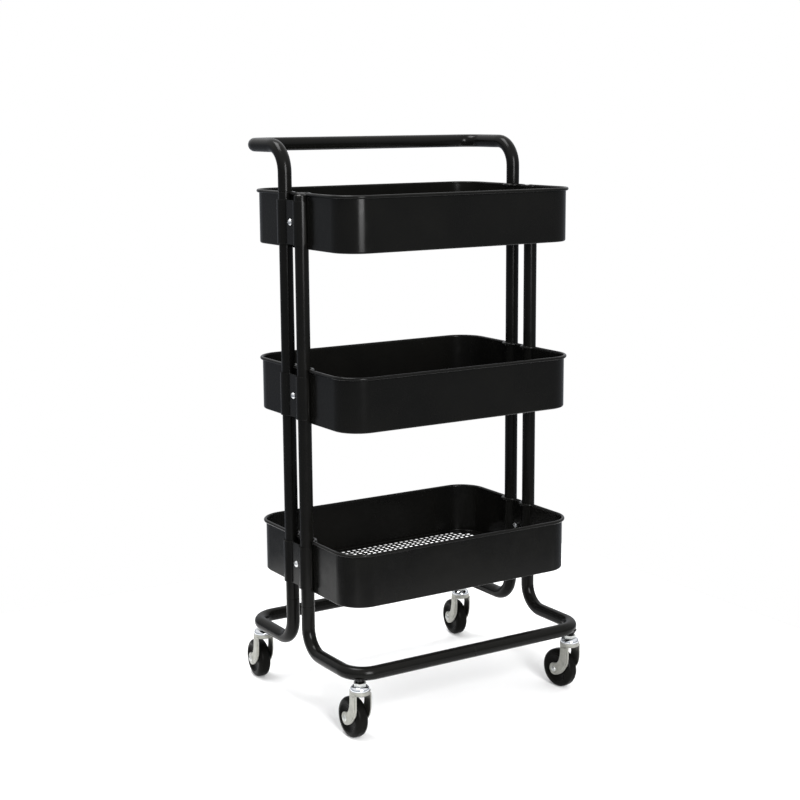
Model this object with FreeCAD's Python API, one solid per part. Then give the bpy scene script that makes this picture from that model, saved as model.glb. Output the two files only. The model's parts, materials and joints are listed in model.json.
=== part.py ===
import FreeCAD, Part
import math
import os

# Three-tier rolling utility cart: bent-tube frame, sheet-steel trays with mesh floors,
# clamp brackets and four swivel casters.
# Millimetres. X runs along the long side of the trays, +Y towards the handle bar at the
# back, +Z up. The origin is on the floor, under the middle of the trays.

V = FreeCAD.Vector
UP = V(0, 0, 1)
ORIGIN = V(0, 0, 0)
SIDES = {"left": -1, "right": 1}
CORNERS = {"front_left": (-1, -1), "front_right": (1, -1), "rear_left": (-1, 1), "rear_right": (1, 1)}

# Frame tube
tube_diameter = 20.0
tube_wall = 1.2
seam_chamfer = 0.5
match = 0.01
post_spacing_y = 47.0

# Bends, all at the centre line of the tube
leg_bend = 36.0
rail_corner_bend = 35.0
handle_leg_bend = 38.0
handle_corner_bend = 30.0

# Trays
tray_length = 398.0
tray_width = 284.0
tray_height = 80.0
tray_corner = 40.0
sheet = 0.9
floor_bend = 2.5
post_inset = 3.5
groove_mouth = 4.0
rim_diameter = 5.0
rim_offset = 1.3
rim_groove_gap = 0.5
end_flange = 16.0
side_flange = 8.0

# Mesh floors
mesh_sheet = 1.0
mesh_pitch = 10.0
mesh_hole = 6.8
mesh_lap = 5.0
mesh_margin = 1.0

# Heights between the parts that are stacked up
bottom_tray_rise = 91.0
lower_tier = 254.0
upper_tier = 251.5
leg_stub = 33.0
handle_stub = 27.0

# Plan reach of the rails and of the handle bar, from the long walls of the trays
rail_overhang = 16.0
handle_inset = 4.0

# Inner sleeves that join the tubes
sleeve_gap = 0.1
sleeve_wall = 1.2
sleeve_end_gap = 3.0
rail_sleeve_length = 60.0

# End caps of the front posts
cap_height = 5.5
cap_flange = 1.5
cap_plug = 12.0

# Clamp brackets and their fasteners
clamp_height = 63.0
clamp_centre = 37.5
clamp_sheet = 2.0
clamp_gap = 0.3
clamp_web = 4.0
clamp_mouth = 3.0
clamp_chamfer = 4.0
screw_diameter = 5.0
screw_hole_gap = 0.3
screw_head_diameter = 10.0
screw_head_height = 3.0
screw_tip = 1.5
recess_length = 5.0
recess_width = 1.0
recess_depth = 1.6
nut_flats = 8.0
nut_height = 4.0
thread_gap = 0.05

# Casters
wheel_diameter = 60.0
wheel_width = 20.0
wheel_hub_width = 22.4
wheel_hub_diameter = 15.0
wheel_rim_depth = 8.5
wheel_web_width = 9.0
wheel_dish_depth = 1.6
tread_rounding = 7.0
tread_edge = 1.2
wheel_clearance = 10.5
caster_trail = 20.0
axle_diameter = 6.0
axle_gap = 0.08
axle_head_diameter = 9.5
axle_head_height = 2.6
hub_gap = 0.35
fork_sheet = 2.4
fork_edge = 1.6
fork_rib = 0.7
fork_rib_margin = 2.8
fork_rib_edge = 0.5
fork_leg_front = 10.0
fork_leg_rear = 7.5
fork_leg_straight = 15.0
fork_leg_rear_straight = 7.0
fork_leg_end = 10.0
fork_leg_turn = 15.0
fork_leg_curve = 0.38
dish_diameter = 30.0
dish_wall = 1.8
dish_edge = 1.2
cup_gap = 0.4
cup_diameter = 28.4
cup_lip = 1.4
cup_height = 6.3
cup_top_diameter = 21.0
cup_bulge = 0.6
cup_recess = 0.9
ball_diameter = 5.6
ball_count = 10
ball_gap = 0.1
collar_flats = 17.0
collar_height = 4.5
stem_diameter = 8.0
stem_gap = 0.05
stem_thread = 16.0
rivet_diameter = 13.0
rivet_height = 2.2
rivet_gap = 0.2
socket_drop = 3.0
socket_diameter = 12.6
socket_flare = 22.0
socket_shank = 12.0
socket_shank_gap = 0.1
socket_rise = 5.0
caster_bearing = 50.5
caster_angles = {"front_left": 0.0, "front_right": 7.0, "rear_left": -5.0, "rear_right": -6.0}

# Sizes that follow from the values above
tube_radius = tube_diameter / 2
tube_bore = tube_radius - tube_wall
post_x = tray_length / 2 + post_inset
post_y = post_spacing_y / 2
rail_y = tray_width / 2 + rail_overhang
bar_y = tray_width / 2 - handle_inset
fork_top = wheel_diameter + wheel_clearance
dish_height = dish_wall + ball_diameter + 2 * ball_gap - cup_recess - cup_gap
dish_top = fork_top + dish_height
cup_bottom = dish_top + cup_gap
cup_top = cup_bottom + cup_height
socket_bottom = cup_top + collar_height
rail_z = socket_bottom + socket_drop + tube_radius
bottom_tray_z = rail_z + bottom_tray_rise
middle_tray_z = bottom_tray_z + lower_tier
top_tray_z = middle_tray_z + upper_tier
leg_seam_z = rail_z + leg_bend + leg_stub
handle_seam_z = top_tray_z + tray_height
bar_z = handle_seam_z + handle_stub + handle_leg_bend
front_post_top = handle_seam_z - cap_height
tray_heights = {"top": top_tray_z, "middle": middle_tray_z, "bottom": bottom_tray_z}
wheel_radius = wheel_diameter / 2
stem_radius = stem_diameter / 2


def edge(a, b):
    return Part.LineSegment(a, b).toShape()


def arc(a, middle, b):
    return Part.Arc(a, middle, b).toShape()


def face_of(edges):
    """Planar face inside a closed loop of edges given in any order."""
    return Part.Face(Part.Wire(Part.__sortEdges__(edges)))


def drum(radius, height, base, axis=UP):
    return Part.makeCylinder(radius, height, base, axis)


def ring(outer, bore, height, base, axis=UP):
    return drum(outer, height, base, axis).cut(drum(bore, height, base, axis))


def dome(radius, height, base, axis):
    """Spherical cap that stands on a disc of the given radius."""
    ball = (radius ** 2 + height ** 2) / (2 * height)
    sphere = Part.makeSphere(ball, base - axis * (ball - height))
    return sphere.common(drum(radius, height, base, axis))


def hexagon(flats, height, base, axis=UP):
    reach = flats / math.sqrt(3)
    points = [V(reach * math.cos(math.pi * k / 3), reach * math.sin(math.pi * k / 3), 0) for k in range(7)]
    prism = Part.Face(Part.makePolygon(points)).extrude(UP * height)
    prism.Placement = FreeCAD.Placement(base, FreeCAD.Rotation(UP, axis))
    return prism


def bent_path(points, radii):
    """Straight runs through the points, joined by tangent arcs."""
    edges = []
    start = points[0]
    for before, corner, after, radius in zip(points, points[1:], points[2:], radii):
        back = (before - corner).normalize()
        ahead = (after - corner).normalize()
        half = back.getAngle(ahead) / 2
        tangent = radius / math.tan(half)
        centre_way = (back + ahead).normalize()
        middle = corner + centre_way * (radius / math.sin(half) - radius)
        edges.append(edge(start, corner + back * tangent))
        edges.append(arc(corner + back * tangent, middle, corner + ahead * tangent))
        start = corner + ahead * tangent
    edges.append(edge(start, points[-1]))
    return Part.Wire(edges)


def rod(path, radius):
    """Round bar along a path."""
    start = path.Vertexes[0].Point
    profile = Part.Wire(Part.makeCircle(radius, start, path.Edges[0].tangentAt(0)))
    return path.makePipeShell([profile], True, False)


def chamfer_ends(solid, ends):
    """Break the outer edge where two tubes meet, which shows as a thin seam."""
    rims = [e for e in solid.Edges if any(is_rim(e, end) for end in ends)]
    return solid.makeChamfer(seam_chamfer, rims)


def is_rim(e, end):
    if not (isinstance(e.Curve, Part.Circle) and e.Closed):
        return False
    return abs(e.Curve.Radius - tube_radius) < match and (e.Curve.Center - end).Length < match


def tube(points, radii, seams):
    path = bent_path(points, radii)
    return chamfer_ends(rod(path, tube_radius).cut(rod(path, tube_bore)), seams)


def sleeve(start, end):
    """Inner sleeve that joins two tubes end to end."""
    radius = tube_bore - sleeve_gap
    axis = (end - start).normalize()
    return ring(radius, radius - sleeve_wall, (end - start).Length, start, axis)


def saddle(depth, groove, mouth):
    """Key points of a wall line that dips round a post: (distance from the post plane, offset)."""
    across = depth + mouth
    offset = math.sqrt((groove + mouth) ** 2 - across ** 2)
    on_line = (depth, offset)
    on_groove = (groove * across / (groove + mouth), groove * offset / (groove + mouth))
    bisector = V(-1 - across / (groove + mouth), -offset / (groove + mouth), 0).normalize()
    on_mouth = (across + mouth * bisector.x, offset + mouth * bisector.y)
    return on_line, on_mouth, on_groove


def corner_cut(radius):
    """How far the middle of a quarter circle stays inside its square corner, along each side."""
    return radius * (1 - math.sqrt(0.5))


def mirrored(point):
    return (point[0], -point[1])


def tray_outline(depth, half_width, corner, groove, mouth, z):
    """Closed outline of a tray with a groove round each of the four posts."""
    half_length = post_x - depth
    on_line, on_mouth, on_groove = saddle(depth, groove, mouth)

    def at(point, centre):
        return V(post_x - point[0], centre + point[1], z)

    edges = []
    last = V(half_length, corner - half_width, z)
    for centre in (-post_y, post_y):
        edges.append(edge(last, at(mirrored(on_line), centre)))
        edges.append(arc(at(mirrored(on_line), centre), at(mirrored(on_mouth), centre),
                         at(mirrored(on_groove), centre)))
        edges.append(arc(at(mirrored(on_groove), centre), at((groove, 0), centre), at(on_groove, centre)))
        edges.append(arc(at(on_groove, centre), at(on_mouth, centre), at(on_line, centre)))
        last = at(on_line, centre)
    edges.append(edge(last, V(half_length, half_width - corner, z)))
    cut = corner_cut(corner)
    for way in (-1, 1):
        side = V(half_length, way * (half_width - corner), z)
        middle = V(half_length - cut, way * (half_width - cut), z)
        front = V(half_length - corner, way * half_width, z)
        edges.append(arc(side, middle, front))
        edges.append(edge(front, V(0, way * half_width, z)))
    turned = [e.copy() for e in edges]
    for e in turned:
        e.rotate(ORIGIN, UP, 180)
    return Part.Wire(Part.__sortEdges__(edges + turned))


def rounded_plate(half_length, half_width, corner, z):
    """Outline of a plain rounded rectangle."""
    cut = corner_cut(corner)
    edges = []
    for x in (-1, 1):
        for y in (-1, 1):
            end = V(x * half_length, y * (half_width - corner), z)
            middle = V(x * (half_length - cut), y * (half_width - cut), z)
            side = V(x * (half_length - corner), y * half_width, z)
            edges.append(arc(end, middle, side))
        straight = half_width - corner
        edges.append(edge(V(x * half_length, -straight, z), V(x * half_length, straight, z)))
    for y in (-1, 1):
        straight = half_length - corner
        edges.append(edge(V(-straight, y * half_width, z), V(straight, y * half_width, z)))
    return Part.Wire(Part.__sortEdges__(edges))


def rounded_base(solid, z, radius):
    """Round the edges round the bottom face of an upright solid."""
    return solid.makeFillet(radius, [e for e in solid.Edges if e.BoundBox.ZMax < z + sheet / 2])


def post_groove():
    return tube_radius + clamp_gap


def window_half_length():
    return tray_length / 2 - end_flange


def window_half_width():
    return tray_width / 2 - side_flange


def tray_shell():
    """Pressed wall with a rolled rim, grooves for the posts and a flange for the mesh; bottom at z = 0."""
    height = tray_height - rim_diameter / 2
    outer = Part.Face(tray_outline(post_inset, tray_width / 2, tray_corner, post_groove(), groove_mouth, 0))
    inner_wire = tray_outline(post_inset + sheet, tray_width / 2 - sheet, tray_corner - sheet,
                              post_groove() + sheet, groove_mouth - sheet, sheet)
    block = rounded_base(outer.extrude(UP * height), 0, floor_bend)
    hollow = rounded_base(Part.Face(inner_wire).extrude(UP * height), sheet, floor_bend - sheet)
    window = rounded_plate(window_half_length(), window_half_width(), tray_corner - side_flange, 0)
    shell = block.cut(hollow).cut(Part.Face(window).extrude(UP * sheet))
    for side in SIDES.values():
        hole_start = V(side * (tray_length / 2 - 2 * sheet), 0, clamp_centre)
        shell = shell.cut(drum(screw_hole_radius(), 3 * sheet, hole_start, V(side, 0, 0)))
    return shell.fuse(rim())


def screw_hole_radius():
    return screw_diameter / 2 + screw_hole_gap


def rim():
    """Rolled rim: a round bead that stands out from the wall and dips inwards round the posts."""
    radius = rim_diameter / 2
    groove = tube_radius + rim_groove_gap + radius
    outline = tray_outline(post_inset - rim_offset, tray_width / 2 + rim_offset, tray_corner + rim_offset,
                           groove, groove_mouth, tray_height - radius)
    return rod(outline, radius)


def mesh_floor():
    """Punched mesh that lies on the flange inside a tray; its tray's bottom is at z = 0."""
    half_length = window_half_length() + mesh_lap
    half_width = window_half_width() + mesh_lap
    corner = tray_corner - side_flange + mesh_lap
    outline = rounded_plate(half_length, half_width, corner, sheet)
    holes = [square_hole(x, y) for x, y in mesh_centres()]
    return Part.Face([outline] + holes).extrude(UP * mesh_sheet)


def square_hole(x, y):
    """Outline of one hole, run clockwise so that it bounds the sheet round it."""
    reach = mesh_hole / 2
    corners = [V(x - reach, y - reach, sheet), V(x - reach, y + reach, sheet),
               V(x + reach, y + reach, sheet), V(x + reach, y - reach, sheet)]
    return Part.makePolygon(corners + corners[:1])


def mesh_centres():
    """Hole centres that leave an unbroken border inside the window."""
    half_length = window_half_length() - mesh_margin
    half_width = window_half_width() - mesh_margin
    corner = tray_corner - side_flange
    columns = int(2 * half_length / mesh_pitch)
    rows = int(2 * half_width / mesh_pitch)
    centres = []
    for i in range(columns):
        for j in range(rows):
            x = (i - (columns - 1) / 2) * mesh_pitch
            y = (j - (rows - 1) / 2) * mesh_pitch
            far_x = abs(x) + mesh_hole / 2 - (half_length - corner)
            far_y = abs(y) + mesh_hole / 2 - (half_width - corner)
            if min(far_x, far_y) <= 0 or math.hypot(far_x, far_y) <= corner:
                centres.append((x, y))
    return centres


def clamp_face_edges(depth, groove, mouth, side):
    """One face of a bracket: a channel over each post and the flat web between them."""
    on_line, on_mouth, on_groove = saddle(depth, groove, mouth)

    def at(out, along):
        return V(side * (post_x + out), along, 0)

    edges = []
    for way in (-1, 1):
        def along(offset):
            return way * (post_y - offset)
        edges.append(arc(at(0, along(-groove)), at(groove, along(0)),
                         at(on_groove[0], along(on_groove[1]))))
        edges.append(arc(at(on_groove[0], along(on_groove[1])), at(on_mouth[0], along(on_mouth[1])),
                         at(on_line[0], along(on_line[1]))))
    edges.append(edge(at(on_line[0], -post_y + on_line[1]), at(on_line[0], post_y - on_line[1])))
    return edges


def clamp(side):
    """Pressed bracket that pins both posts of one end against the tray; its tray's bottom is at z = 0."""
    inner = post_groove()
    outer = inner + clamp_sheet
    edges = clamp_face_edges(clamp_web, inner, clamp_mouth, side)
    edges += clamp_face_edges(clamp_web + clamp_sheet, outer, clamp_mouth - clamp_sheet, side)
    for way in (-1, 1):
        post_side = V(side * post_x, way * post_y, 0)
        edges.append(edge(post_side + V(0, way * inner, 0), post_side + V(0, way * outer, 0)))
    body = face_of(edges).extrude(UP * clamp_height)
    for way in (-1, 1):
        for foot, rise in ((0, 1), (clamp_height, -1)):
            corner = V(side * post_x, way * (post_y + tube_radius / 2), foot)
            outwards = corner + V(side * clamp_chamfer, 0, 0)
            upwards = corner + V(0, 0, rise * clamp_chamfer)
            triangle = Part.Face(Part.makePolygon([corner, outwards, upwards, corner]))
            wedge = triangle.extrude(V(0, way * tube_radius, 0))
            body = body.cut(wedge)
    hole_start = V(side * post_x, 0, clamp_height / 2)
    body = body.cut(drum(screw_hole_radius(), tube_radius, hole_start, V(side, 0, 0)))
    body.translate(V(0, 0, clamp_centre - clamp_height / 2))
    return body


def clamp_screw(side):
    """Pan-head cross-recess screw through the bracket and the tray wall."""
    out = V(side, 0, 0)
    seat = V(side * (post_x + clamp_web + clamp_sheet), 0, clamp_centre)
    reach = clamp_sheet + clamp_web + post_inset + sheet + nut_height + screw_tip
    head = dome(screw_head_diameter / 2, screw_head_height, seat, out)
    for long_y in (True, False):
        size_y, size_z = (recess_length, recess_width) if long_y else (recess_width, recess_length)
        slot = Part.makeBox(2 * recess_depth, size_y, size_z)
        slot.translate(seat + out * screw_head_height - V(recess_depth, size_y / 2, size_z / 2))
        head = head.cut(slot)
    return head.fuse(drum(screw_diameter / 2, reach, seat, V(-side, 0, 0)))


def clamp_nut(side):
    """Nut inside the tray, against its end wall."""
    seat = V(side * (tray_length / 2 - sheet), 0, clamp_centre)
    body = hexagon(nut_flats, nut_height, seat, V(-side, 0, 0))
    return body.cut(drum(screw_diameter / 2 + thread_gap, nut_height, seat, V(-side, 0, 0)))


def leg_points(x_side, y_side):
    """Centre line of one leg: down from the post, outwards, and round to the middle of the rail."""
    return [V(x_side * post_x, y_side * post_y, leg_seam_z), V(x_side * post_x, y_side * post_y, rail_z),
            V(x_side * post_x, y_side * rail_y, rail_z), V(0, y_side * rail_y, rail_z)]


def caster_place(x_side, y_side):
    """Point in plan under a rail corner, at a bearing round its bend."""
    turn = math.radians(caster_bearing)
    x = post_x - rail_corner_bend * (1 - math.cos(turn))
    y = rail_y - rail_corner_bend * (1 - math.sin(turn))
    return V(x_side * x, y_side * y, 0)


def leg(x_side, y_side):
    points = leg_points(x_side, y_side)
    body = tube(points, [leg_bend, rail_corner_bend], [points[0], points[-1]])
    place = caster_place(x_side, y_side)
    hole = drum(socket_shank / 2 + socket_shank_gap, rail_z - socket_bottom, place + UP * socket_bottom)
    return body.cut(hole)


def caster_socket(x_side, y_side):
    """Welded threaded bush under a rail corner."""
    place = caster_place(x_side, y_side)
    solid_leg = rod(bent_path(leg_points(x_side, y_side), [leg_bend, rail_corner_bend]), tube_radius)
    base = place + UP * socket_bottom
    height = rail_z + socket_rise - socket_bottom
    flare = Part.makeCone(socket_diameter / 2, socket_flare / 2, socket_drop + socket_rise, base)
    shank = drum(socket_shank / 2, height, base)
    bore = drum(stem_radius + thread_gap, height, base)
    return flare.cut(solid_leg).fuse(shank).cut(bore)


def post(x_side, y_side):
    foot = V(x_side * post_x, y_side * post_y, leg_seam_z)
    top = V(foot.x, foot.y, handle_seam_z if y_side > 0 else front_post_top)
    return tube([foot, top], [], [foot, top])


def handle(x_side):
    points = [V(x_side * post_x, post_y, handle_seam_z), V(x_side * post_x, post_y, bar_z),
              V(x_side * post_x, bar_y, bar_z), V(0, bar_y, bar_z)]
    return tube(points, [handle_leg_bend, handle_corner_bend], [points[0], points[-1]])


def upright_sleeve(x_side, y_side, seam_z, stub):
    half = stub - sleeve_end_gap
    foot = V(x_side * post_x, y_side * post_y, seam_z - half)
    return sleeve(foot, foot + UP * 2 * half)


def level_sleeve(y, z):
    return sleeve(V(-rail_sleeve_length / 2, y, z), V(rail_sleeve_length / 2, y, z))


def post_cap(x_side):
    """Domed plastic plug on top of a front post."""
    seat = V(x_side * post_x, -post_y, front_post_top)
    flange = drum(tube_radius, cap_flange, seat)
    crown = dome(tube_radius, cap_height - cap_flange, seat + UP * cap_flange, UP)
    plug = drum(tube_bore - sleeve_gap, cap_plug, seat - UP * cap_plug)
    return flange.fuse(crown).fuse(plug).removeSplitter()


def revolved(points):
    """Turned part from half its section, given as (radius, height) points."""
    outline = Part.makePolygon([V(r, 0, h) for r, h in points + points[:1]])
    return Part.Face(outline).revolve(ORIGIN, UP, 360)


def caster_stem():
    """Threaded stem with a hexagon collar; its shank is riveted over under the fork."""
    rivet_top = fork_top - rivet_gap
    collar = hexagon(collar_flats, collar_height, UP * cup_top)
    thread = drum(stem_radius, stem_thread, UP * socket_bottom)
    shank = drum(stem_radius, cup_top - rivet_top, UP * rivet_top)
    head = dome(rivet_diameter / 2, rivet_height, UP * rivet_top, V(0, 0, -1))
    return collar.fuse(thread).fuse(shank).fuse(head)


def caster_cup():
    """Upper race: a bright pressed cup that closes the balls in."""
    bore = stem_radius + stem_gap
    outer = cup_diameter / 2
    lip = outer - cup_lip
    crown = V(cup_top_diameter / 2, 0, cup_top)
    shoulder = V(outer, 0, cup_bottom + cup_lip)
    middle = (crown + shoulder) * 0.5 + V(cup_bulge, 0, cup_bulge)
    section = [(outer, cup_bottom + cup_lip), (outer, cup_bottom), (lip, cup_bottom),
               (lip, cup_bottom + cup_recess), (bore, cup_bottom + cup_recess), (bore, cup_top)]
    points = [V(r, 0, h) for r, h in section] + [crown]
    edges = [arc(crown, middle, shoulder)] + [edge(a, b) for a, b in zip(points, points[1:])]
    return face_of(edges).revolve(ORIGIN, UP, 360)


def caster_balls():
    """Balls that run between the fork's dish and the cup."""
    floor_z = fork_top + dish_wall
    radius = ball_diameter / 2
    circle = dish_diameter / 2 - dish_wall - radius - ball_gap - cup_gap
    balls = []
    for k in range(ball_count):
        turn = 2 * math.pi * k / ball_count
        centre = V(circle * math.cos(turn), circle * math.sin(turn), floor_z + radius + ball_gap)
        balls.append(Part.makeSphere(radius, centre))
    return Part.makeCompound(balls)


def swept(a, away, b, into):
    """Smooth edge that leaves a along one direction and runs into b along another."""
    reach = (b - a).Length * fork_leg_curve
    curve = Part.BezierCurve()
    curve.setPoles([a, a + away * reach, b - into * reach, b])
    return curve.toShape()


def fork_leg_outline(inset):
    """Side view of a fork leg drawn in by an inset: straight at the top, then swept back to a round end."""
    top = fork_top + dish_wall - inset
    front = inset - fork_leg_front
    rear = fork_leg_rear - inset
    end = fork_leg_end - inset
    turn = math.radians(fork_leg_turn)
    axle = V(0, caster_trail, wheel_radius)
    end_start = axle + UP * end
    end_back = axle + V(0, end, 0)
    end_stop = axle - V(0, math.sin(turn), math.cos(turn)) * end
    front_top = V(0, front, top)
    front_knee = V(0, front, fork_top - fork_leg_straight)
    rear_top = V(0, rear, top)
    rear_knee = V(0, rear, fork_top - fork_leg_rear_straight)
    return face_of([edge(front_top, rear_top), edge(rear_top, rear_knee),
                    swept(rear_knee, -UP, end_start, V(0, 1, 0)), arc(end_start, end_back, end_stop),
                    swept(end_stop, V(0, -math.cos(turn), math.sin(turn)), front_knee, UP),
                    edge(front_knee, front_top)])


def fork_leg(side):
    """Pressed strap beside the wheel, with rounded outer edges and a raised rib along it."""
    inner = wheel_hub_width / 2 + hub_gap
    strap = fork_leg_outline(0).extrude(V(fork_sheet, 0, 0))
    outer_edges = [e for e in strap.Edges if e.BoundBox.XMin > fork_sheet / 2]
    strap = strap.makeFillet(fork_edge, [e for e in outer_edges if e.BoundBox.ZMin < fork_top])
    rib = fork_leg_outline(fork_rib_margin).extrude(V(fork_sheet / 2 + fork_rib, 0, 0))
    rib.translate(V(fork_sheet / 2, 0, 0))
    rib = rib.makeChamfer(fork_rib_edge, [e for e in rib.Edges if e.BoundBox.XMin > fork_sheet])
    strap = strap.fuse(rib)
    strap.translate(V(inner, 0, 0))
    if side < 0:
        strap = strap.mirror(ORIGIN, V(1, 0, 0))
    return strap


def caster_fork():
    """Dish for the balls with two legs down to the axle."""
    outer = dish_diameter / 2
    inner = outer - dish_wall
    bore = stem_radius + stem_gap
    body = revolved([(bore, fork_top), (outer - dish_edge, fork_top), (outer, fork_top + dish_edge),
                     (outer, dish_top), (inner, dish_top), (inner, fork_top + dish_wall),
                     (bore, fork_top + dish_wall)])
    for side in (-1, 1):
        body = body.fuse(fork_leg(side))
    reach = wheel_hub_width / 2 + hub_gap + fork_sheet + fork_rib
    hole_start = V(-reach, caster_trail, wheel_radius)
    return body.cut(drum(axle_diameter / 2 + axle_gap / 2, 2 * reach, hole_start, V(1, 0, 0)))


def caster_axle():
    """Riveted axle with a domed head at each end."""
    reach = wheel_hub_width / 2 + hub_gap + fork_sheet + fork_rib
    centre = V(0, caster_trail, wheel_radius)
    body = drum(axle_diameter / 2, 2 * reach, centre - V(reach, 0, 0), V(1, 0, 0))
    for side in (-1, 1):
        seat = centre + V(side * reach, 0, 0)
        body = body.fuse(dome(axle_head_diameter / 2, axle_head_height, seat, V(side, 0, 0)))
    return body


def caster_wheel():
    """One-piece wheel: round-shouldered tread, recessed faces and a hub."""
    tread = wheel_width / 2
    half_hub = wheel_hub_width / 2
    rim_bore = wheel_radius - wheel_rim_depth
    bore = axle_diameter / 2 + axle_gap
    hub = wheel_hub_diameter / 2
    web = wheel_web_width / 2
    shoulder = math.sqrt(0.5) * tread_rounding
    edges = [edge(V(-tread + tread_rounding, 0, wheel_radius), V(tread - tread_rounding, 0, wheel_radius))]
    for side in (-1, 1):
        crown = V(side * (tread - tread_rounding), 0, wheel_radius)
        middle = V(side * (tread - tread_rounding + shoulder), 0, wheel_radius - tread_rounding + shoulder)
        foot = V(side * tread, 0, wheel_radius - tread_rounding)
        rim = V(side * (tread - tread_edge), 0, rim_bore - tread_edge)
        root = V(side * web, 0, hub)
        dish = (rim + root) * 0.5 - V(side * wheel_dish_depth, 0, wheel_dish_depth)
        face = [foot, V(side * tread, 0, rim_bore), rim]
        hub_face = [root, V(side * half_hub, 0, hub - tread_edge / 2), V(side * half_hub, 0, bore)]
        edges += [arc(crown, middle, foot), arc(rim, dish, root)]
        edges += [edge(a, b) for run in (face, hub_face) for a, b in zip(run, run[1:])]
    edges.append(edge(V(-half_hub, 0, bore), V(half_hub, 0, bore)))
    body = face_of(edges).revolve(ORIGIN, V(1, 0, 0), 360)
    body.translate(V(0, caster_trail, wheel_radius))
    return body


def placed(shape, x_side, y_side, angle):
    """Turn a caster piece about its stem and set it under its corner."""
    copy = shape.copy()
    copy.rotate(ORIGIN, UP, angle)
    copy.translate(caster_place(x_side, y_side))
    return copy


def raised(shape, z):
    copy = shape.copy()
    copy.translate(V(0, 0, z))
    return copy


def frame_nodes():
    nodes = {}
    for name, (x_side, y_side) in CORNERS.items():
        nodes[name + "_leg"] = leg(x_side, y_side)
        nodes[name + "_post"] = post(x_side, y_side)
    for name, side in SIDES.items():
        nodes["handle_" + name] = handle(side)
        nodes["post_cap_" + name] = post_cap(side)
    nodes["handle_bar_sleeve"] = level_sleeve(bar_y, bar_z)
    nodes["rail_sleeves"] = Part.makeCompound([level_sleeve(side * rail_y, rail_z) for side in (-1, 1)])
    leg_sleeves = [upright_sleeve(x, y, leg_seam_z, leg_stub) for x, y in CORNERS.values()]
    nodes["leg_sleeves"] = Part.makeCompound(leg_sleeves)
    handle_sleeves = [upright_sleeve(x, 1, handle_seam_z, handle_stub) for x in (-1, 1)]
    nodes["handle_sleeves"] = Part.makeCompound(handle_sleeves)
    nodes["caster_sockets"] = Part.makeCompound([caster_socket(x, y) for x, y in CORNERS.values()])
    return nodes


def tray_nodes():
    nodes = {}
    shell = tray_shell()
    mesh = mesh_floor()
    for tier, z in tray_heights.items():
        nodes[tier + "_tray"] = raised(shell, z)
        nodes[tier + "_tray_mesh"] = raised(mesh, z)
        for name, side in SIDES.items():
            nodes[tier + "_clamp_" + name] = raised(clamp(side), z)
        screws = [raised(clamp_screw(side), z) for side in SIDES.values()]
        nodes[tier + "_clamp_screws"] = Part.makeCompound(screws)
        nuts = [raised(clamp_nut(side), z) for side in SIDES.values()]
        nodes[tier + "_clamp_nuts"] = Part.makeCompound(nuts)
    return nodes


def caster_nodes():
    nodes = {}
    pieces = {"stem": caster_stem(), "cup": caster_cup(), "balls": caster_balls(), "fork": caster_fork(),
              "axle": caster_axle(), "wheel": caster_wheel()}
    for corner, (x_side, y_side) in CORNERS.items():
        for piece, shape in pieces.items():
            name = "_".join([corner, "caster", piece])
            nodes[name] = placed(shape, x_side, y_side, caster_angles[corner])
    return nodes


os.makedirs("parts", exist_ok=True)
for build_nodes in (frame_nodes, tray_nodes, caster_nodes):
    for node, shape in build_nodes().items():
        shape.exportStep("parts/" + node + ".step")
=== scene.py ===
import json
import math

import bpy
from mathutils import Matrix, Vector

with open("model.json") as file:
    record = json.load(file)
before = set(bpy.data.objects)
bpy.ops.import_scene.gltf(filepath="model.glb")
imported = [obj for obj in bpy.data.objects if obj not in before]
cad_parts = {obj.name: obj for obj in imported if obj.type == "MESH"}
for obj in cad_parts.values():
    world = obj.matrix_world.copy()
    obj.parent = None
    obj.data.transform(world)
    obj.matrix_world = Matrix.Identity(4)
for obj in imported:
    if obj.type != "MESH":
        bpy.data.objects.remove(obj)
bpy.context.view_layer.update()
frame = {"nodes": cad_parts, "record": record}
nodes = frame["nodes"]
slots = {part["node"]: part["material_slot"] for part in frame["record"]["subparts"]}

# Camera: a point in front of the cart's left end, at about the height of the handle
CAMERA_PLACE = (-1.2779, -1.9906, 0.8889)
CAMERA_AZIMUTH = -32.20
CAMERA_ELEVATION = 10.38
CAMERA_ROLL = -0.38
CAMERA_LENS = 70.79
SENSOR_WIDTH = 36.0

# Studio: a sheet of white paper in a pale room that is a little dimmer near the ground
FLOOR_SIZE = 1.4
PAPER_DULL = (0.90, 0.90, 0.90, 1)
PAPER_CLEAN = (0.92, 0.92, 0.92, 1)
PAPER_GLOSS = 0.1
PAPER_CLOUD_FINENESS = 3
PAPER_SHEEN_FINENESS = 200
BACKDROP = (1, 1, 1, 1)
ROOM_LOW = (0.40, 0.42, 0.46, 1)
ROOM_HIGH = (1.2, 1.2, 1.2, 1)
ROOM_HIGH_FROM = 0.5

# Surfaces: colours, gloss, and the fineness of each detail in features per metre
BLACK = (0.0028, 0.0028, 0.0026, 1)
WARM_BLACK = (0.0042, 0.0041, 0.0036, 1)
THIN_PAINT = (0.035, 0.034, 0.032, 1)
BRIGHT_EDGE = (0.78, 0.78, 0.76, 1)
EDGE_WIDTH = 0.0008
EDGE_SAMPLES = 4
EDGE_OPENNESS = (0.45, 0.9)
WEAR_PATCH = (0.42, 0.62)
TUBE_GLOSS = 0.09
TRAY_GLOSS = 0.10
PLASTIC_GLOSS = 0.10
WHEEL_GLOSS = 0.035

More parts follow.
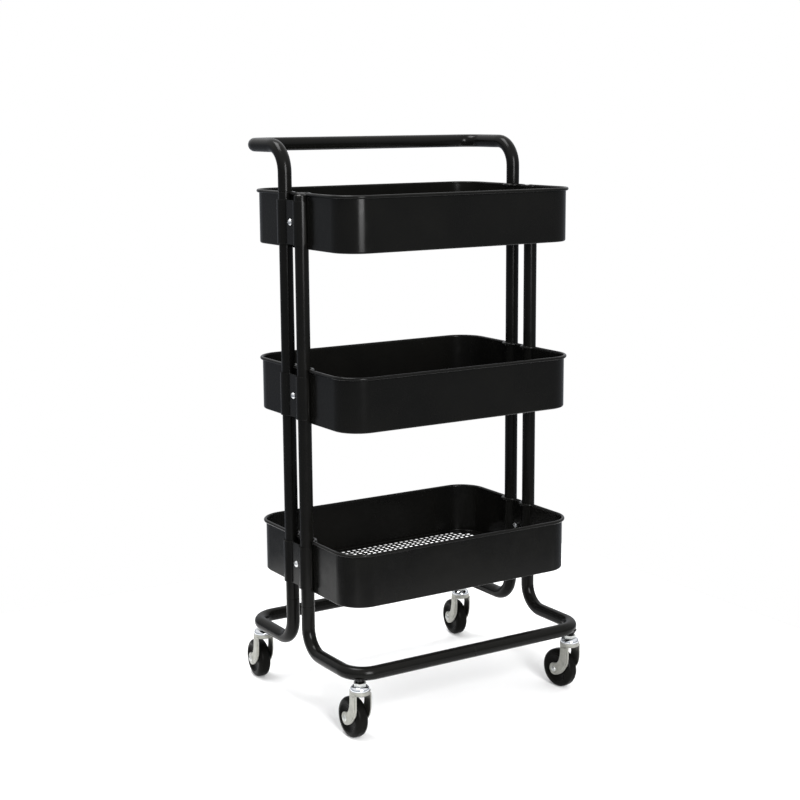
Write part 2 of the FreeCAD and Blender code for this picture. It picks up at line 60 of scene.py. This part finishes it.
CLOUD_FINENESS = 9
SHEEN_FINENESS = 60
PEEL_FINENESS = 650
PEEL_SWELL_FINENESS = 90
SHEET_WAVE_FINENESS = 7
WEAR_FINENESS = 70
PLATE_CLOUD_FINENESS = 120
SCRATCH_FINENESS = 260
SCRATCH_STRETCH = (1.0, 1.0, 0.15)
PLATE_GRAIN_FINENESS = 1800
PLASTIC_CLOUD_FINENESS = 70
PLASTIC_SHEEN_FINENESS = 260
PLASTIC_GRAIN_FINENESS = 2400


# ---------------------------------------------------------------- materials

class Shader:
    """A principled material whose nodes are added one by one."""

    def __init__(self, name, **sockets):
        self.material = bpy.data.materials.new(name)
        self.material.use_nodes = True
        self.tree = self.material.node_tree
        self.shader = self.tree.nodes["Principled BSDF"]
        self.place = self.add("ShaderNodeTexCoord").outputs["Object"]
        for socket, value in sockets.items():
            self.shader.inputs[socket.replace("_", " ")].default_value = value

    def add(self, kind, links=None, **settings):
        node = self.tree.nodes.new(kind)
        for name, value in settings.items():
            if hasattr(node, name):
                setattr(node, name, value)
            else:
                node.inputs[name.replace("_", " ")].default_value = value
        for name, source in (links or {}).items():
            self.tree.links.new(source, node.inputs[name])
        return node

    def noise(self, scale, detail=2.0, roughness=0.5, stretch=None):
        """Noise of the given fineness, in features per metre."""
        place = self.place
        if stretch:
            place = self.add("ShaderNodeMapping", {"Vector": place}, Scale=stretch).outputs["Vector"]
        node = self.add("ShaderNodeTexNoise", {"Vector": place}, Scale=scale, Detail=detail,
                        Roughness=roughness)
        return node.outputs["Fac"]

    def spread(self, value, low, high, start=0.3, stop=0.7):
        """Maps a noise value to a range of numbers."""
        node = self.add("ShaderNodeMapRange", {"Value": value})
        node.inputs["From Min"].default_value = start
        node.inputs["From Max"].default_value = stop
        node.inputs["To Min"].default_value = low
        node.inputs["To Max"].default_value = high
        return node.outputs["Result"]

    def between(self, value, dark, light):
        """Maps a 0 to 1 value to a blend of two colours."""
        node = self.add("ShaderNodeMix", {"Factor": value}, data_type="RGBA")
        node.inputs["A"].default_value = dark
        node.inputs["B"].default_value = light
        return node.outputs["Result"]

    def feed(self, socket, value):
        self.tree.links.new(value, self.shader.inputs[socket])

    def bump(self, *layers):
        """Surface relief from (height value, depth in metres) layers."""
        normal = None
        for height, depth in layers:
            links = {"Height": height}
            if normal:
                links["Normal"] = normal
            node = self.add("ShaderNodeBump", links, Strength=1.0, Distance=depth)
            normal = node.outputs["Normal"]
        self.feed("Normal", normal)


def edge_wear(material, base, worn):
    """Blends a worn tone into a base colour along sharp edges, in broken patches."""
    edges = material.add("ShaderNodeAmbientOcclusion", inside=True, samples=EDGE_SAMPLES,
                         Distance=EDGE_WIDTH)
    near_edge = material.spread(edges.outputs["AO"], 1.0, 0.0, *EDGE_OPENNESS)
    patches = material.spread(material.noise(WEAR_FINENESS, detail=3), 0.0, 1.0, *WEAR_PATCH)
    share = material.add("ShaderNodeMath", operation="MULTIPLY")
    material.tree.links.new(near_edge, share.inputs[0])
    material.tree.links.new(patches, share.inputs[1])
    blend = material.add("ShaderNodeMix", {"Factor": share.outputs[0]}, data_type="RGBA")
    material.tree.links.new(base, blend.inputs["A"])
    blend.inputs["B"].default_value = worn
    return blend.outputs["Result"]


def powder_coat(name, gloss, low, high, peel, sheet_wave=0.0):
    """Black powder coat: orange peel, a sheen that varies a little, and thin paint along the edges."""
    paint = Shader(name, Specular_IOR_Level=gloss)
    cloud = paint.spread(paint.noise(CLOUD_FINENESS, detail=3), 0.0, 1.0)
    colour = paint.between(cloud, BLACK, WARM_BLACK)
    paint.feed("Base Color", edge_wear(paint, colour, THIN_PAINT))
    paint.feed("Roughness", paint.spread(paint.noise(SHEEN_FINENESS, detail=4), low, high))
    layers = [(paint.noise(PEEL_FINENESS, detail=2), peel),
              (paint.noise(PEEL_SWELL_FINENESS, detail=1), peel)]
    if sheet_wave:
        layers.append((paint.noise(SHEET_WAVE_FINENESS, detail=1), sheet_wave))
    paint.bump(*layers)
    return paint.material


def plated(name, dark, light, low, high, grain):
    """Zinc or chrome plate: cloudy tone, fine scratches and a grainy sheen."""
    metal = Shader(name, Metallic=1.0)
    cloud = metal.spread(metal.noise(PLATE_CLOUD_FINENESS, detail=5, roughness=0.6), 0.0, 1.0)
    metal.feed("Base Color", edge_wear(metal, metal.between(cloud, dark, light), BRIGHT_EDGE))
    scratches = metal.noise(SCRATCH_FINENESS, detail=4, stretch=SCRATCH_STRETCH)
    metal.feed("Roughness", metal.spread(scratches, low, high))
    metal.bump((metal.noise(PLATE_GRAIN_FINENESS, detail=3), grain))
    return metal.material


def moulded(name, gloss, low, high, grain):
    """Moulded plastic: fine spark-eroded grain, scuffed paler along the edges."""
    plastic = Shader(name, Specular_IOR_Level=gloss)
    cloud = plastic.spread(plastic.noise(PLASTIC_CLOUD_FINENESS, detail=3), 0.0, 1.0)
    plastic.feed("Base Color", edge_wear(plastic, plastic.between(cloud, BLACK, WARM_BLACK), THIN_PAINT))
    plastic.feed("Roughness", plastic.spread(plastic.noise(PLASTIC_SHEEN_FINENESS, detail=3), low, high))
    plastic.bump((plastic.noise(PLASTIC_GRAIN_FINENESS, detail=2), grain))
    return plastic.material


materials = {
    "tube_paint": powder_coat("tube_paint", TUBE_GLOSS, 0.18, 0.25, 0.000003),
    "tray_paint": powder_coat("tray_paint", TRAY_GLOSS, 0.16, 0.24, 0.000003, sheet_wave=0.00008),
    "mesh_paint": powder_coat("mesh_paint", TRAY_GLOSS, 0.26, 0.36, 0.000005),
    "clamp_paint": powder_coat("clamp_paint", TRAY_GLOSS, 0.14, 0.22, 0.000003, sheet_wave=0.00004),
    "cap_plastic": moulded("cap_plastic", PLASTIC_GLOSS, 0.10, 0.16, 0.000003),
    "zinc_screws": plated("zinc_screws", (0.52, 0.53, 0.54, 1), (0.72, 0.73, 0.74, 1), 0.18, 0.34, 0.000006),
    "zinc_bright": plated("zinc_bright", (0.34, 0.35, 0.34, 1), (0.48, 0.49, 0.48, 1), 0.24, 0.38, 0.000006),
    "cup_chrome": plated("cup_chrome", (0.56, 0.58, 0.61, 1), (0.68, 0.70, 0.73, 1), 0.05, 0.12, 0.000003),
    "fork_zinc": plated("fork_zinc", (0.23, 0.23, 0.21, 1), (0.32, 0.32, 0.29, 1), 0.30, 0.44, 0.00001),
    "ball_steel": plated("ball_steel", (0.55, 0.55, 0.56, 1), (0.62, 0.62, 0.63, 1), 0.08, 0.14, 0.000003),
    "sleeve_steel": plated("sleeve_steel", (0.30, 0.30, 0.30, 1), (0.42, 0.42, 0.42, 1), 0.35, 0.5, 0.00001),
    "wheel_plastic": moulded("wheel_plastic", WHEEL_GLOSS, 0.26, 0.34, 0.000008),
}


def dress_cad():
    """Gives every CAD node the material of its slot."""
    for name, node in nodes.items():
        node.data.materials.clear()
        node.data.materials.append(materials[slots[name]])


# ---------------------------------------------------------------- stage, lights and camera

def build_floor():
    """A sheet of white paper under the cart."""
    half = FLOOR_SIZE / 2
    mesh = bpy.data.meshes.new("floor")
    corners = [(-half, -half, 0), (half, -half, 0), (half, half, 0), (-half, half, 0)]
    mesh.from_pydata(corners, [], [(0, 1, 2, 3)])
    floor = bpy.data.objects.new("floor", mesh)
    bpy.context.collection.objects.link(floor)
    paint = Shader("floor_paper", Specular_IOR_Level=PAPER_GLOSS)
    tone = paint.spread(paint.noise(PAPER_CLOUD_FINENESS, detail=2), 0.0, 1.0)
    paint.feed("Base Color", paint.between(tone, PAPER_DULL, PAPER_CLEAN))
    paint.feed("Roughness", paint.spread(paint.noise(PAPER_SHEEN_FINENESS), 0.85, 0.95))
    mesh.materials.append(paint.material)


def build_world():
    """A white backdrop for the eye, and a white room for the gloss to mirror, darker near the ground."""
    world = bpy.data.worlds.new("studio")
    bpy.context.scene.world = world
    world.use_nodes = True
    tree = world.node_tree
    tree.nodes.clear()

    def add(kind, **links):
        node = tree.nodes.new(kind)
        for name, source in links.items():
            tree.links.new(source, node.inputs[name])
        return node

    place = add("ShaderNodeTexCoord").outputs["Generated"]
    height = add("ShaderNodeSeparateXYZ", Vector=place).outputs["Z"]
    rise = add("ShaderNodeMapRange", Value=height)
    rise.inputs["From Min"].default_value = 0.0
    rise.inputs["From Max"].default_value = ROOM_HIGH_FROM
    room_tone = add("ShaderNodeMix")
    room_tone.data_type = "RGBA"
    tree.links.new(rise.outputs["Result"], room_tone.inputs["Factor"])
    room_tone.inputs["A"].default_value = ROOM_LOW
    room_tone.inputs["B"].default_value = ROOM_HIGH
    room = add("ShaderNodeBackground", Color=room_tone.outputs["Result"])
    backdrop = add("ShaderNodeBackground")
    backdrop.inputs["Color"].default_value = BACKDROP
    mix = add("ShaderNodeMixShader", Fac=add("ShaderNodeLightPath").outputs["Is Camera Ray"])
    tree.links.new(room.outputs[0], mix.inputs[1])
    tree.links.new(backdrop.outputs[0], mix.inputs[2])
    add("ShaderNodeOutputWorld", Surface=mix.outputs[0])


def soft_box(name, place, aim, width, height, watts):
    """A rectangular lamp that points from its place to its aim."""
    light = bpy.data.lights.new(name, "AREA")
    light.shape = "RECTANGLE"
    light.size = width
    light.size_y = height
    light.energy = watts
    lamp = bpy.data.objects.new(name, light)
    lamp.location = place
    lamp.rotation_euler = (Vector(aim) - Vector(place)).to_track_quat("-Z", "Y").to_euler()
    bpy.context.collection.objects.link(lamp)


def build_lights():
    """One lamp above the trays and a tall one in front, which draws the streak on the tray corners."""
    soft_box("overhead_light", place=(-0.6, 0.4, 2.8), aim=(0, 0, 0.4), width=1.4, height=1.0, watts=60)
    soft_box("front_light", place=(-0.57, -2.95, 1.45), aim=(0, 0, 1.35), width=1.0, height=1.9, watts=130)


def build_camera():
    """The camera, turned by its azimuth and elevation and then rolled about its line of sight."""
    data = bpy.data.cameras.new("camera")
    data.lens = CAMERA_LENS
    data.sensor_width = SENSOR_WIDTH
    camera = bpy.data.objects.new("camera", data)
    azimuth = math.radians(CAMERA_AZIMUTH)
    elevation = math.radians(CAMERA_ELEVATION)
    ahead = Vector((-math.sin(azimuth) * math.cos(elevation), math.cos(azimuth) * math.cos(elevation),
                    -math.sin(elevation)))
    level = Vector((math.cos(azimuth), math.sin(azimuth), 0))
    turn = Matrix.Rotation(-math.radians(CAMERA_ROLL), 3, ahead)
    right = turn @ level
    up = right.cross(ahead)
    camera.matrix_world = Matrix.Translation(CAMERA_PLACE) @ Matrix((right, up, -ahead)).transposed().to_4x4()
    bpy.context.collection.objects.link(camera)
    bpy.context.scene.camera = camera


# ---------------------------------------------------------------- the scene

bpy.context.scene.view_settings.view_transform = "Standard"
dress_cad()
build_floor()
build_world()
build_lights()
build_camera()
